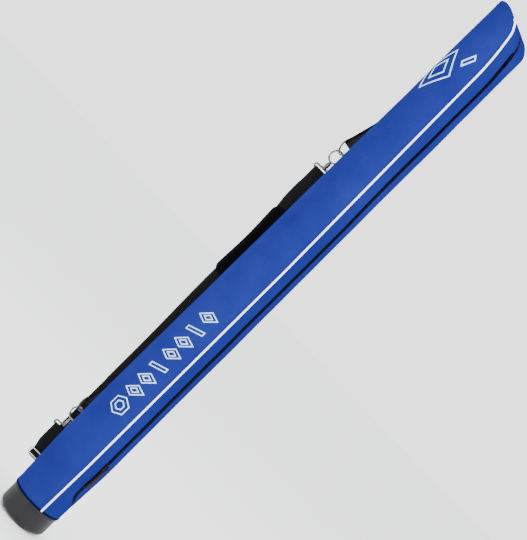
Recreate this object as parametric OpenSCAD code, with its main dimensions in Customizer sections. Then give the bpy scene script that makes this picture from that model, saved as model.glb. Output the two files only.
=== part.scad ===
/* [Case] */
// Overall height of the case, standing on its cup
case_h = 1450; // [1300:10:1700]
// Radius of the cover where it meets the cup
hem_r = 58.9; // [58:0.1:62]
// Radius of the cover at its widest, just above the cup
wide_r = 64.6; // [63:0.1:68]
// Height of the widest place
wide_z = 190; // [160:5:220]
// Radius of the cover at the top end
top_r = 59.3; // [58:0.1:62]
// Radius of the round corner on the zip side of the top
zip_corner_r = 100; // [60:5:110]
// Radius of the corner on the back side of the top
spine_corner_r = 14; // [10:1:20]

/* [Wall] */
// Thickness of the outer fabric
cover_t = 1; // [0.6:0.1:1.5]
// Thickness of the plastic stiffener sheet
stiff_t = 2; // [1:0.1:3]
// Thickness of the foam layer
foam_t = 4; // [2:0.5:6]
// Thickness of the lining
lining_t = 1; // [0.6:0.1:1.2]

/* [Lid] */
// Height at which the opening flap starts
lid_z = 235; // [225:5:400]
// Angle of the flap's fold line, turned from the front towards the right
spine_phi = -60; // [-70:1:-50]
// Angle of the zip line
zip_phi = 80; // [70:1:90]
// Direction in which the top slopes down to its round corner
top_phi = 88; // [75:1:95]
// Angle of the front piping at the cup
piping_low_phi = 52; // [48:1:56]
// Angle of the front piping near the top
piping_top_phi = 45; // [42:1:50]
// Angle of the rear piping
rear_piping_phi = 137; // [126:1:145]
// Diameter of the piping
piping_d = 4.4; // [3:0.1:6]
// Width of the zip on each side of its line, as an angle
zip_half = 3.6; // [2:0.1:5]

/* [Cup] */
// Height of the moulded cup that shows
cup_h = 54; // [40:1:70]
// Outer radius of the cup
cup_r = 57.5; // [55:0.1:58]
// Wall thickness of the cup
cup_t = 2.4; // [2:0.1:3]
// Radius of the cup's lower edge
cup_edge_r = 12; // [6:1:15]
// Height of the feet under the cup
foot_h = 3.5; // [2:0.5:4]
// Radius of each foot
foot_r = 13; // [8:1:14]
// Distance of the four outer feet from the middle
foot_ring = 36; // [30:1:37]

/* [Strap] */
// Width of the shoulder webbing
web_w = 38; // [30:1:40]
// Thickness of the shoulder webbing
web_t = 1.8; // [1.2:0.1:2.2]
// Height of the upper ring's bar
ring_z = 1027; // [900:1:1100]
// How far below the upper ring the lower ring lies
ring_drop = 765; // [600:5:765]
// Thickness of the ring and hook wire
wire_d = 4; // [3:0.1:4.4]
// Length of the shoulder pad
pad_l = 190; // [120:5:240]
// Width of the shoulder pad
pad_w = 46; // [44:1:50]
// Thickness of the shoulder pad
pad_t = 11; // [8:1:12]
// Height of the strap's lowest bend
turn_z = 93; // [85:1:120]

/* [Hidden] */
$fn = 96;
eps = 0.05;
seam = 0.3;                  // gap between neighbouring pieces
seam_deg = 0.3;              // the same gap as an angle on the cover
lid_gap = 1.2;               // gap under the flap, which swings about a slightly leaning line
stiff_in = cover_t;          // depth of each layer's outer face below the cover's face
foam_in = stiff_in + stiff_t;
lining_in = foam_in + foam_t;
wall_t = lining_in + lining_t;
zip_low_z = 145;             // lower end of the zip
corner_x = top_r - zip_corner_r;
corner_z = case_h - zip_corner_r;
flange_r = hem_r - foam_in - seam;
flange_h = 26;               // sewing flange of the cup, inside the sleeve
slope = (top_r - wide_r) / (case_h - wide_z);

// The strap hangs behind the left side, with its width along a line turned 30 degrees from X.
strap_turn_deg = 30;
strap_u = -70;               // hook's place along the strap's width direction
strap_v = 48;                // hook's place behind the case axis
e_u = [cos(strap_turn_deg), sin(strap_turn_deg), 0];
e_v = [-sin(strap_turn_deg), cos(strap_turn_deg), 0];
hang = strap_u * e_u + strap_v * e_v;
ring_r = 20;                 // bend radius of a D-ring
ring_leg = 6.5;              // its straight legs
loop_r = 15.25;              // snap hook's round loop
loop_drop = 37;              // from the ring's bar down to the loop's middle
eye_w = 47;                  // strap eye, outside
eye_bend = 4.5;
eye_drop = 36;               // from the loop's middle down to the eye's upper bar
web_end_l = 44;              // stitched end of the webbing below an eye
tab_l = 96;                  // free length of a ring's tab
tab_w = 34;

// Radius of the cover's outer face at height z.
function cover_r(z) = z < wide_z
    ? hem_r + (wide_r - hem_r) * (z - cup_h) / (wide_z - cup_h)
    : wide_r + slope * (z - wide_z);

// A point at angle phi, turned from the front towards the right.
function around(r, phi, z) = [r * sin(phi), -r * cos(phi), z];

// ---- layers of the wall ----

// A solid sector of the case, with its face at a depth under the cover.
module sector(depth, z0, z1, phi0, phi1) {
    mid = z0 < wide_z && z1 > wide_z ? [[wide_r - depth, wide_z]] : [];
    rotate([0, 0, phi0 - 90]) rotate_extrude(angle = phi1 - phi0)
        polygon(concat([[0, z0], [cover_r(z0) - depth, z0]], mid, [[cover_r(z1) - depth, z1], [0, z1]]));
}

// A ring sector between two depths, for the straight part of the case.
module band(depth0, depth1, z0, z1, phi0 = 0, phi1 = 360) {
    mid = z0 < wide_z && z1 > wide_z;
    outer = concat([[cover_r(z0) - depth0, z0]], mid ? [[wide_r - depth0, wide_z]] : [], [[cover_r(z1) - depth0, z1]]);
    inner = concat([[cover_r(z1) - depth1, z1]], mid ? [[wide_r - depth1, wide_z]] : [], [[cover_r(z0) - depth1, z0]]);
    rotate([0, 0, phi0 - 90]) rotate_extrude(angle = phi1 - phi0) polygon(concat(outer, inner));
}

// What the two round corners of the top take away.
module corner_waste(depth) {
    rotate([0, 0, top_phi - 90]) {
        difference() {
            translate([corner_x, -100, corner_z]) cube([200, 200, 200]);
            translate([corner_x, 0, corner_z]) rotate([90, 0, 0])
                cylinder(r = zip_corner_r - depth, h = 202, center = true);
        }
        difference() {
            translate([-top_r + spine_corner_r - 200, -100, case_h - spine_corner_r]) cube([200, 200, 200]);
            translate([-top_r + spine_corner_r, 0, case_h - spine_corner_r]) rotate([90, 0, 0])
                cylinder(r = spine_corner_r - depth, h = 202, center = true);
        }
    }
}

// A solid sector with the rounded top end.
module capped(depth, z0, phi0, phi1) {
    difference() {
        sector(depth, z0, case_h - depth, phi0, phi1);
        corner_waste(depth);
    }
}

// A wall layer with the rounded top end.
module layer(depth0, depth1, z0, phi0, phi1) {
    difference() {
        capped(depth0, z0, phi0, phi1);
        capped(depth1, z0 - 1, phi0 - 2, phi1 + 2);
    }
}

// ---- piping ----

// Angle of the front piping at height z: it leans towards the front as it rises.
function piping_phi(z) = piping_low_phi + (piping_top_phi - piping_low_phi) * max(0, (z - 750) / (1290 - 750));

// An eight-sided tube along points on the case.
module tube(points, d) {
    n = len(points);
    function dir(i) = let (a = points[max(0, i - 1)], b = points[min(n - 1, i + 1)]) (b - a) / norm(b - a);
    function side(i) = let (c = cross(dir(i), [points[i][0], points[i][1], 0])) c / norm(c);
    rings = [for (i = [0 : n - 1]) let (s = side(i), o = cross(s, dir(i)))
        for (k = [0 : 7]) points[i] + d / 2 * (s * cos(45 * k) + o * sin(45 * k))];
    faces = concat(
        [[for (k = [0 : 7]) k]],
        [for (i = [0 : n - 2], k = [0 : 7]) [8 * i + k, 8 * i + 8 + k, 8 * i + 8 + (k + 1) % 8, 8 * i + (k + 1) % 8]],
        [[for (k = [7 : -1 : 0]) 8 * (n - 1) + k]]);
    polyhedron(rings, faces);
}

function piping_line(z0, z1, steps, phi_of_z = undef) =
    [for (i = [0 : steps]) let (z = z0 + (z1 - z0) * i / steps, phi = is_undef(phi_of_z) ? piping_phi(z) : phi_of_z)
        around(cover_r(z) + piping_d / 2 + eps, phi, z)];

// ---- cup ----

module base_cup() {
    edge = [for (a = [-90 : 15 : 0]) [cup_r - cup_edge_r + cup_edge_r * cos(a), foot_h + cup_edge_r + cup_edge_r * sin(a)]];
    in_r = cup_edge_r - cup_t;
    inner = [for (a = [0 : -15 : -90]) [cup_r - cup_edge_r + in_r * cos(a), foot_h + cup_edge_r + in_r * sin(a)]];
    color("#3b3b3d") rotate_extrude() polygon(concat(
        [[0, foot_h]], edge,
        [[cup_r, cup_h], [flange_r, cup_h], [flange_r, cup_h + flange_h],
         [flange_r - cup_t, cup_h + flange_h], [flange_r - cup_t, cup_h - 4], [cup_r - cup_t, cup_h - 8]],
        inner, [[0, foot_h + cup_t]]));
}

module base_feet() {
    color("#2c2c2e") {
        cylinder(r = foot_r, h = foot_h);
        for (phi = [51 : 90 : 321]) translate(around(foot_ring, phi, 0)) cylinder(r = foot_r - 3, h = foot_h);
    }
}

module base_foam() {
    color("#55585c") translate([0, 0, foot_h + cup_t + cup_edge_r]) cylinder(r = cup_r - cup_t - 2, h = 12);
}

module hem_band() {
    color("#14264f") band(-0.8, 0.7, cup_h + 0.3, cup_h + 4);
}

// ---- sleeve round the lower end ----

module lower_cover() {
    color("#2455ae") difference() {
        band(0, cover_t - eps, cup_h + 4.2, lid_z);
        band(-1, cover_t + 1, zip_low_z, lid_z + 1, zip_phi - zip_half, zip_phi + zip_half);
    }
}
module lower_stiffener() { color("#d8d8d2") band(stiff_in, foam_in - eps, cup_h + 0.3, lid_z); }
module lower_foam() { color("#6c7076") band(foam_in, lining_in - eps, cup_h + flange_h + 1, lid_z); }
module lower_lining() { color("#1c2a4a") band(lining_in, wall_t, cup_h + flange_h + 1, lid_z); }
module lower_piping() {
    color("#eef4f8") {
        tube(piping_line(cup_h + 5.5, lid_z, 4), piping_d);
        tube(piping_line(cup_h + 5.5, lid_z, 4, rear_piping_phi), piping_d);
    }
}
module lower_zip() {
    color("#10131c") band(0.2, cover_t - eps, zip_low_z + 0.2, lid_z, zip_phi - zip_half + 0.1, zip_phi + zip_half - 0.1);
}

// ---- fixed back half ----

rear_phi1 = spine_phi + 360 - seam_deg;
module rear_cover() { color("#2455ae") layer(0, cover_t - eps, lid_z + eps, rear_piping_phi, rear_phi1); }
module rear_gusset() { color("#2a4fa6") layer(0, cover_t - eps, lid_z + eps, zip_phi + zip_half, rear_piping_phi - eps); }
module rear_stiffener() { color("#d8d8d2") layer(stiff_in, foam_in - eps, lid_z + eps, zip_phi + seam_deg, rear_phi1); }
module rear_foam() { color("#6c7076") layer(foam_in, lining_in - eps, lid_z + eps, zip_phi + seam_deg, rear_phi1); }
module rear_lining() { color("#1c2a4a") layer(lining_in, wall_t, lid_z + eps, zip_phi + seam_deg, rear_phi1); }
module rear_piping() { color("#eef4f8") tube(piping_line(lid_z + 0.5, 1360, 16, rear_piping_phi), piping_d); }
module rear_zip() {
    color("#10131c") layer(0.2, cover_t - eps, lid_z + eps, zip_phi + seam_deg, zip_phi + zip_half - 0.1);
}
module spine_tape() {
    color("#1c2a4a") band(wall_t + eps, wall_t + 0.6, lid_z + 10, 1380, spine_phi - 16, spine_phi - 1);
}

// ---- opening front half ----

lid_phi0 = spine_phi + seam_deg;
lid_z0 = lid_z + lid_gap;
module lid_cover() { color("#2455ae") layer(0, cover_t - eps, lid_z0, lid_phi0, piping_top_phi); }
module lid_gusset() { color("#2a4fa6") layer(0, cover_t - eps, lid_z0, piping_top_phi + 0.05, zip_phi - zip_half); }
module lid_stiffener() { color("#d8d8d2") layer(stiff_in, foam_in - eps, lid_z0, lid_phi0, zip_phi - seam_deg); }
module lid_foam() { color("#6c7076") layer(foam_in, lining_in - eps, lid_z0, lid_phi0, zip_phi - seam_deg); }
module lid_lining() { color("#1c2a4a") layer(lining_in, wall_t, lid_z0, lid_phi0, zip_phi - seam_deg); }
module lid_piping() { color("#eef4f8") tube(piping_line(lid_z0 + 0.5, 1400, 20), piping_d); }
module lid_zip() {
    color("#10131c") layer(0.2, cover_t - eps, lid_z0, zip_phi - zip_half + 0.1, zip_phi - seam_deg);
}

// ---- zip slider ----

slider_z = 205;
slider_l = 22;
slider_w = 11;
slider_h = 4;
pull_l = 60;
pull_w = 8;
pull_t = 2;
pull_off = slider_h + 3.2;   // pivot's distance from the cover

module on_zip_line() {
    rotate([0, 0, zip_phi - 90]) translate([cover_r(slider_z), 0, slider_z]) children();
}

module zip_slider() {
    color("#26282c") on_zip_line() {
        difference() {
            intersection() {
                translate([0.6, -slider_w / 2, -slider_l / 2]) cube([slider_h - 0.6, slider_w, slider_l]);
                translate([0, 0, -2]) rotate([0, 90, 0]) cylinder(r = slider_l / 2 + 2, h = 20, center = true);
            }
            translate([0.5, -1.5, -slider_l]) cube([1, 3, 2 * slider_l]);
        }
        for (s = [-1, 1]) translate([slider_h - 0.2, s * 3.4 - 0.7, -1]) cube([pull_off - slider_h + 1.6, 1.4, 8]);
        translate([pull_off, 0, 3]) rotate([90, 0, 0]) cylinder(r = 0.9, h = 6.8, center = true);
    }
}

module zip_pull() {
    color("#16181c") on_zip_line() translate([pull_off, 0, 3]) {
        difference() {
            union() {
                rotate([90, 0, 0]) cylinder(r = 2, h = 5, center = true);
                translate([-pull_t / 2, -2.5, -8]) cube([pull_t, 5, 7]);
            }
            rotate([90, 0, 0]) cylinder(r = 1, h = 8, center = true);
        }
        translate([-pull_t / 2, -pull_w / 2, -pull_l + 4]) cube([pull_t, pull_w, pull_l - 12]);
        translate([0, 0, -pull_l + 4]) rotate([0, 90, 0]) cylinder(r = pull_w / 2, h = pull_t, center = true);
    }
}

module zip_stop() {
    color("#8a8d92") rotate([0, 0, zip_phi - 90]) translate([cover_r(zip_low_z + 4) + 0.1, -3, zip_low_z + 2]) cube([1, 6, 4]);
}

// ---- ring tabs, rings, hooks and eyes; each is drawn for a ring whose bar is at height z ----

module along_y(r, l) { rotate([90, 0, 0]) cylinder(r = r, h = l, center = true); }

module tab(z) {
    top = z + tab_l;
    half = asin(tab_w / 2 / cover_r(top));
    side_phi = -90 - asin(hang[1] / cover_r(top));
    color("#17181b") {
        translate([hang[0], hang[1], z]) difference() {
            along_y(wire_d / 2 + 2, tab_w);
            along_y(wire_d / 2 + 0.25, tab_w + 1);
        }
        hull() {
            translate([hang[0] - 1, hang[1] - tab_w / 2, z + wire_d / 2 + 1.4]) cube([2, tab_w, 0.5]);
            translate([-cover_r(top) - 2.4, hang[1] - tab_w / 2, top - 0.5]) cube([2, tab_w, 1]);
        }
        band(-2.0, -0.2, top, top + 46, side_phi - half, side_phi + half);
    }
}

module d_ring(z) {
    r = wire_d / 2;
    color("#3a3a3c") translate([hang[0], hang[1], z]) {
        along_y(r, 2 * ring_r);
        for (s = [-1, 1]) translate([0, s * ring_r, -ring_leg]) cylinder(r = r, h = ring_leg);
        for (s = [-1, 1]) translate([0, s * ring_r, 0]) sphere(r = r);
        translate([0, 0, -ring_leg]) rotate([0, 90, 0]) rotate([0, 0, -90])
            rotate_extrude(angle = 180) translate([ring_r, 0]) circle(r = r);
    }
}

// Angles on the hook's loop, from +X towards +Z.
gate_a0 = 142;
gate_a1 = 213;
gate_gap = 6.5;
gate_reach = 17.3;           // its free end is round about its pivot, so that it clears the loop
module loop_arc(a0, a1, r) {
    rotate([90, 0, 0]) rotate([0, 0, a0]) rotate_extrude(angle = a1 - a0) translate([loop_r, 0]) circle(r = r);
}

module at_loop(z) { translate([hang[0], hang[1], z - loop_drop]) children(); }

module hook(z) {
    color("#424245") at_loop(z) {
        loop_arc(gate_a1 + gate_gap - 360, gate_a0 - gate_gap, 2.25);
        difference() {
            translate([0, 0, -30]) cylinder(r = 5, h = 14);
            translate([0, 0, -31]) cylinder(r = 2.55, h = 10);
        }
    }
}

module gate(z) {
    color("#55565a") at_loop(z) intersection() {
        loop_arc(gate_a0, gate_a1, 1.7);
        translate([loop_r * cos(gate_a1), 0, loop_r * sin(gate_a1)]) along_y(gate_reach, 8);
    }
}

module eye(z) {
    r = wire_d / 2;
    bar = eye_w / 2 - r - eye_bend;
    color("#3a3a3c") at_loop(z) {
        translate([0, 0, -eye_drop]) {
            cylinder(r = 2.5, h = eye_drop - 22);
            translate([0, 0, 1]) cylinder(r = 4.4, h = 4.6);
        }
        rotate([0, 0, strap_turn_deg]) translate([0, 0, -eye_drop - eye_bend]) {
            for (s = [-1, 1]) translate([-bar, 0, s * eye_bend]) rotate([0, 90, 0]) cylinder(r = r, h = 2 * bar);
            for (s = [-1, 1]) translate([s * bar, 0, 0]) rotate([90, 0, 0]) rotate([0, 0, s > 0 ? -90 : 90])
                rotate_extrude(angle = 180) translate([eye_bend, 0]) circle(r = r);
        }
    }
}

// Webbing folded round the eye's lower bar and sewn to itself.
module web_end(z) {
    color("#17181b") at_loop(z) rotate([0, 0, strap_turn_deg])
        translate([0, 0, -eye_drop - 2 * eye_bend]) {
            difference() {
                rotate([0, 90, 0]) cylinder(r = wire_d / 2 + 0.2 + web_t, h = 34, center = true);
                rotate([0, 90, 0]) cylinder(r = wire_d / 2 + 0.2, h = 36, center = true);
            }
            translate([-17, -web_t, -web_end_l]) cube([34, 2 * web_t, web_end_l - wire_d / 2 - 1.4]);
        }
}

// ---- shoulder webbing ----

eye_z = ring_z - loop_drop - eye_drop - 2 * eye_bend;      // upper eye's lower bar
low_eye_z = eye_z - ring_drop;
back_v = 57;                 // back leg's distance behind the axis, beside the pad
clear_v = 72;                // and where it passes behind the lower ring, hook and slide
front_v = 49;                // front leg's distance behind the axis
turn_u = -61;

// A flat band along points given as [place across the strap, place behind the axis, height].
module ribbon(points, w, t) {
    n = len(points);
    function flat_dir(i) = let (a = points[max(0, i - 1)], b = points[min(n - 1, i + 1)], d = [0, b[1] - a[1], b[2] - a[2]]) d / norm(d);
    function place(i, s, o) = let (d = flat_dir(i), p = points[i] + [s * w / 2, o * t / 2 * d[2], -o * t / 2 * d[1]])
        p[0] * e_u + p[1] * e_v + [0, 0, p[2]];
    rings = [for (i = [0 : n - 1]) each [place(i, -1, -1), place(i, 1, -1), place(i, 1, 1), place(i, -1, 1)]];
    faces = concat(
        [[3, 2, 1, 0]],
        [for (i = [0 : n - 2], k = [0 : 3]) [4 * i + k, 4 * i + (k + 1) % 4, 4 * i + 4 + (k + 1) % 4, 4 * i + 4 + k]],
        [[for (k = [0 : 3]) 4 * (n - 1) + k]]);
    polyhedron(rings, faces);
}

pad_z = 645;                 // lower end of the pad
pad_u = -64;
web_top_z = eye_z - web_end_l - 0.5;
strap_joint_z = pad_z - 60;  // below it the strap hangs still when its upper end is lifted
turn_r = (clear_v - front_v) / 2;

module strap_upper() {
    color("#17181b") ribbon([
        [strap_u, strap_v, web_top_z],
        [strap_u + 2, strap_v + 5, web_top_z - 30],
        [pad_u, back_v, pad_z + pad_l + 12],
        [pad_u, back_v, strap_joint_z]], web_w, web_t);
}

module strap_lower() {
    color("#17181b") ribbon([
        [pad_u, back_v, strap_joint_z - 0.5],
        [turn_u, back_v + 3, 440],
        [turn_u, clear_v, 300],
        [turn_u, clear_v, turn_z + turn_r + 12]], web_w, web_t);
}

module strap_turn() {
    bend = [for (a = [0 : 30 : 180]) [turn_u - 3 * a / 180, front_v + turn_r + turn_r * cos(a), turn_z + turn_r - turn_r * sin(a)]];
    color("#17181b") ribbon(concat(
        [[turn_u, clear_v, turn_z + turn_r + 11.5]], bend,
        [[strap_u + 4, front_v, turn_z + turn_r + 14], [strap_u, strap_v, low_eye_z - web_end_l - 0.5]]), web_w - 2, web_t);
}

module strap_pad() {
    color("#1b1c1f") translate(pad_u * e_u + back_v * e_v) rotate([0, 0, strap_turn_deg]) difference() {
        translate([-pad_w / 2, -pad_t / 2, pad_z]) cube([pad_w, pad_t, pad_l]);
        translate([-web_w / 2 - 1, -web_t / 2 - 0.6, pad_z - 1]) cube([web_w + 2, web_t + 1.2, pad_l + 2]);
    }
}

// Three-bar slide near the lower end of the strap.
glide_z = 106;
glide_w = 42;
glide_h = 13;
module tri_glide() {
    mid_v = front_v - web_t / 2 - 2.6;
    color("#8b8d90") translate((turn_u - 5) * e_u + mid_v * e_v + [0, 0, glide_z]) rotate([0, 0, strap_turn_deg]) {
        for (s = [-1 : 1]) translate([-glide_w / 2, 0, s * glide_h / 2]) rotate([0, 90, 0]) cylinder(r = 1.2, h = glide_w);
        for (s = [-1, 1]) translate([s * glide_w / 2, 0, -glide_h / 2]) cylinder(r = 1.2, h = glide_h);
        for (s = [-1, 1], q = [-1, 1]) translate([s * glide_w / 2, 0, q * glide_h / 2]) sphere(r = 1.2);
    }
}

module upper_tab() { tab(ring_z); }
module upper_ring() { d_ring(ring_z); }
module upper_hook() { hook(ring_z); }
module upper_gate() { gate(ring_z); }
module upper_eye() { eye(ring_z); }
module upper_web_end() { web_end(ring_z); }
module lower_tab() { tab(ring_z - ring_drop); }
module lower_ring() { d_ring(ring_z - ring_drop); }
module lower_hook() { hook(ring_z - ring_drop); }
module lower_gate() { gate(ring_z - ring_drop); }
module lower_eye() { eye(ring_z - ring_drop); }
module lower_web_end() { web_end(ring_z - ring_drop); }

base_cup();
base_feet();
base_foam();
hem_band();
lower_cover();
lower_stiffener();
lower_foam();
lower_lining();
lower_piping();
lower_zip();
rear_cover();
rear_gusset();
rear_stiffener();
rear_foam();
rear_lining();
rear_piping();
rear_zip();
lid_cover();
lid_gusset();
lid_stiffener();
lid_foam();
lid_lining();
lid_piping();
lid_zip();
spine_tape();
zip_stop();
zip_slider();
zip_pull();
upper_tab();
upper_ring();
upper_hook();
upper_gate();
upper_eye();
upper_web_end();
lower_tab();
lower_ring();
lower_hook();
lower_gate();
lower_eye();
lower_web_end();
strap_upper();
strap_lower();
strap_turn();
strap_pad();
tri_glide();
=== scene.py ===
import math

import bmesh
import bpy
from mathutils import Matrix, Vector


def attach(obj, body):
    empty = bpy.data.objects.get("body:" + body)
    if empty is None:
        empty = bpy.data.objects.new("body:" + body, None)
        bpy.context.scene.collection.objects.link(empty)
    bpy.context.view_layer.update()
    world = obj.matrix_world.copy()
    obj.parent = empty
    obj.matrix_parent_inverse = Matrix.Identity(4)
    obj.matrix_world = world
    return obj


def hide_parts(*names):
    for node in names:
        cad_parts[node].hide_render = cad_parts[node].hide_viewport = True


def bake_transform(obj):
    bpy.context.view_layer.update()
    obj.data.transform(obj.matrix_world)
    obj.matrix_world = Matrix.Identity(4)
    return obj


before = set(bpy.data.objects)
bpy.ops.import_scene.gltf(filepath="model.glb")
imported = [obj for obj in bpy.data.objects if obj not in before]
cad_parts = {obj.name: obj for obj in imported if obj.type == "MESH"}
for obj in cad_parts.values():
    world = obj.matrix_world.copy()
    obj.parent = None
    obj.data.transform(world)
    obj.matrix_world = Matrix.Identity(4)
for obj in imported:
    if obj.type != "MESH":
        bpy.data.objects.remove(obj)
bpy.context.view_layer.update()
MM = 0.001
UP = Vector((0, 0, 1))

# ---------------------------------------------------------------- driving sizes, in millimetres
CASE_H, HEM_R, WIDE_R, WIDE_Z, TOP_R = 1450.0, 58.9, 64.6, 190.0, 59.3
ZIP_CORNER_R, SPINE_CORNER_R, TOP_PHI = 100.0, 14.0, 88.0
CUP_H, LID_Z = 54.0, 235.0
SPINE_PHI, REAR_PIPING_PHI = -60.0, 137.0
PIPING_R = 2.2
WALL = {"cover": (0.0, 1.0), "stiffener": (1.6, 3.0), "foam": (3.1, 7.0), "lining": (7.1, 8.0)}
# Each layer stops this many degrees from the zip's line.
ZIP_GAP = {"cover": 4.8, "stiffener": 7.4, "foam": 2.0, "lining": 0.5}
ARC_PER_DEG = 1.1           # length of one degree round the cover, for the weave
OPEN_END_Z = 620.0          # above this height the opened flap has its full angle
STRAP_DEG = 30.0
HANG_U, HANG_V = -70.0, 48.0
RING_Z, RING_DROP, LOOP_DROP, EYE_DROP, EYE_BEND = 1027.0, 765.0, 37.0, 36.0, 4.5
WIRE_R, WEB_T, WEB_W = 2.0, 1.8, 38.0
BACK_V, CLEAR_V, FRONT_V, PAD_U, TURN_U, TURN_Z = 57.0, 72.0, 49.0, -64.0, -61.0, 93.0
PAD_Z, PAD_L, PAD_W, PAD_T, PAD_CORNER = 645.0, 190.0, 46.0, 11.0, 15.0
PULL_W = 8.0

# ---------------------------------------------------------------- camera
AZ = math.radians(30)
ALONG = Vector((math.cos(AZ), math.sin(AZ), 0))      # across the view, towards the zip side
BACK = Vector((math.sin(AZ), -math.cos(AZ), 0))      # from the case towards the camera
ROLL = math.radians(44.66)                           # the case's long axis above the picture's horizontal
DISTANCE, AIM_HEIGHT, AIM_SIDE, LENS = 2.57, 0.716, -0.0087, 83.3
camera_data = bpy.data.cameras.new("camera")
camera = bpy.data.objects.new("camera", camera_data)
bpy.context.scene.collection.objects.link(camera)
bpy.context.scene.camera = camera
camera_data.lens, camera_data.sensor_width = LENS, 36
x_axis = math.cos(ROLL) * UP + math.sin(ROLL) * ALONG
y_axis = math.sin(ROLL) * UP - math.cos(ROLL) * ALONG
turn = Matrix((x_axis, y_axis, BACK)).transposed()
camera_place = AIM_SIDE * ALONG + AIM_HEIGHT * UP + DISTANCE * BACK
camera.matrix_world = Matrix.Translation(camera_place) @ turn.to_4x4()


# ---------------------------------------------------------------- the case's shape
def clamp(x, low=0.0, high=1.0):
    return max(low, min(high, x))


def smooth(x, low, high):
    t = clamp((x - low) / (high - low))
    return t * t * (3 - 2 * t)


def cover_r(z):
    if z < WIDE_Z:
        return HEM_R + (WIDE_R - HEM_R) * (z - CUP_H) / (WIDE_Z - CUP_H)
    return WIDE_R + (TOP_R - WIDE_R) * (z - WIDE_Z) / (CASE_H - WIDE_Z)


def top_height(x, depth):
    """Height of the top's face at a place x along its slope."""
    corner_x = TOP_R - ZIP_CORNER_R
    spine_x = -TOP_R + SPINE_CORNER_R
    if x > corner_x:
        run = min(x - corner_x, ZIP_CORNER_R - depth)
        return CASE_H - ZIP_CORNER_R + math.sqrt(max(0, (ZIP_CORNER_R - depth) ** 2 - run * run))
    if x < spine_x:
        run = min(spine_x - x, SPINE_CORNER_R - depth)
        return CASE_H - SPINE_CORNER_R + math.sqrt(max(0, (SPINE_CORNER_R - depth) ** 2 - run * run))
    return CASE_H - depth


def edge_height(phi, depth):
    z = CASE_H - 20
    for _ in range(4):
        z = top_height((cover_r(z) - depth) * math.cos(math.radians(phi - TOP_PHI)), depth)
    return z


def around(r, phi, z):
    a = math.radians(phi)
    return Vector((r * math.sin(a), -r * math.cos(a), z)) * MM


def piping_phi(z):
    """The front piping leans forward as it rises, then curls over to meet the top edge."""
    lean = 52 - 7 * clamp((z - 750) / 540)
    return lean - 14 * clamp((z - 1290) / 131) ** 1.8 - 7 * clamp((z - 1398) / 24) ** 2.5


def zip_phi(z):
    low = 45 * (1 - smooth(z, 80, 150)) ** 2.6
    lean = 3.5 * smooth(z, 850, 1060)
    curl = 11 * smooth(z, 1290, 1400)
    return 81.5 + low - lean - curl


ZIP_TOP_PHI = zip_phi(edge_height(68, 0))


def zip_curve(t, depth):
    """The zip's line over the top end, from the fold (t = 0) to the zip side (t = 1), in plan."""
    r = cover_r(CASE_H - 60) - depth
    a, b = math.radians(SPINE_PHI), math.radians(ZIP_TOP_PHI)
    points = [(r * math.sin(a), -r * math.cos(a)), (-30, 8), (30, 6), (r * math.sin(b), -r * math.cos(b))]
    w = [(1 - t) ** 3, 3 * t * (1 - t) ** 2, 3 * t * t * (1 - t), t ** 3]
    return sum(k * p[0] for k, p in zip(w, points)), sum(k * p[1] for k, p in zip(w, points))


def top_point(x, y, depth):
    a = math.radians(TOP_PHI)
    return Vector((x, y, top_height(x * math.sin(a) - y * math.cos(a), depth))) * MM


def puff(phi, z):
    """Small real unevenness of stretched cloth over foam, in millimetres."""
    a = math.radians(phi)
    long_wave = 0.32 * math.sin(z / 61 + 2 * math.sin(a * 2)) * math.sin(a * 3 + z / 240)
    cross = 0.2 * math.sin(z / 23 + 3 * math.sin(a)) * math.sin(z / 97 + 1.7)
    return long_wave + cross


def dip(distance, width, deep):
    return -deep * math.exp(-(distance / width) ** 2)


def wall_point(phi, z, depth, cloth=True):
    r = cover_r(z) - depth
    if cloth:
        fade = smooth(edge_height(phi, 0) - z, 0, 40)
        arc = math.radians(1) * r
        pull = 0.55 + 0.2 * math.sin(z / 2.9)
        seams = dip((phi - piping_phi(z)) * arc, 5.0, pull) + dip((phi - REAR_PIPING_PHI) * arc, 5.0, pull)
        seams += dip((phi - zip_phi(z)) * arc, 4.2, 1.5)
        r += (puff(phi, z) * smooth(z, CUP_H + 4, CUP_H + 40) + seams) * fade
    return around(r, phi, z)


# ---------------------------------------------------------------- mesh building
def make_object(name, verts, faces, uvs=None, shade=True):
    mesh = bpy.data.meshes.new(name)
    mesh.from_pydata([tuple(v) for v in verts], [], faces)
    if uvs:
        layer = mesh.uv_layers.new(name="uv")
        for loop in mesh.loops:
            layer.data[loop.index].uv = uvs[loop.vertex_index]
    bm = bmesh.new()
    bm.from_mesh(mesh)
    bmesh.ops.recalc_face_normals(bm, faces=bm.faces)
    bm.to_mesh(mesh)
    bm.free()
    obj = bpy.data.objects.new(name, mesh)
    bpy.context.scene.collection.objects.link(obj)
    if shade:
        for p in mesh.polygons:
            p.use_smooth = True
        mesh.set_sharp_from_angle(angle=math.radians(42))
    return obj


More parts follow.
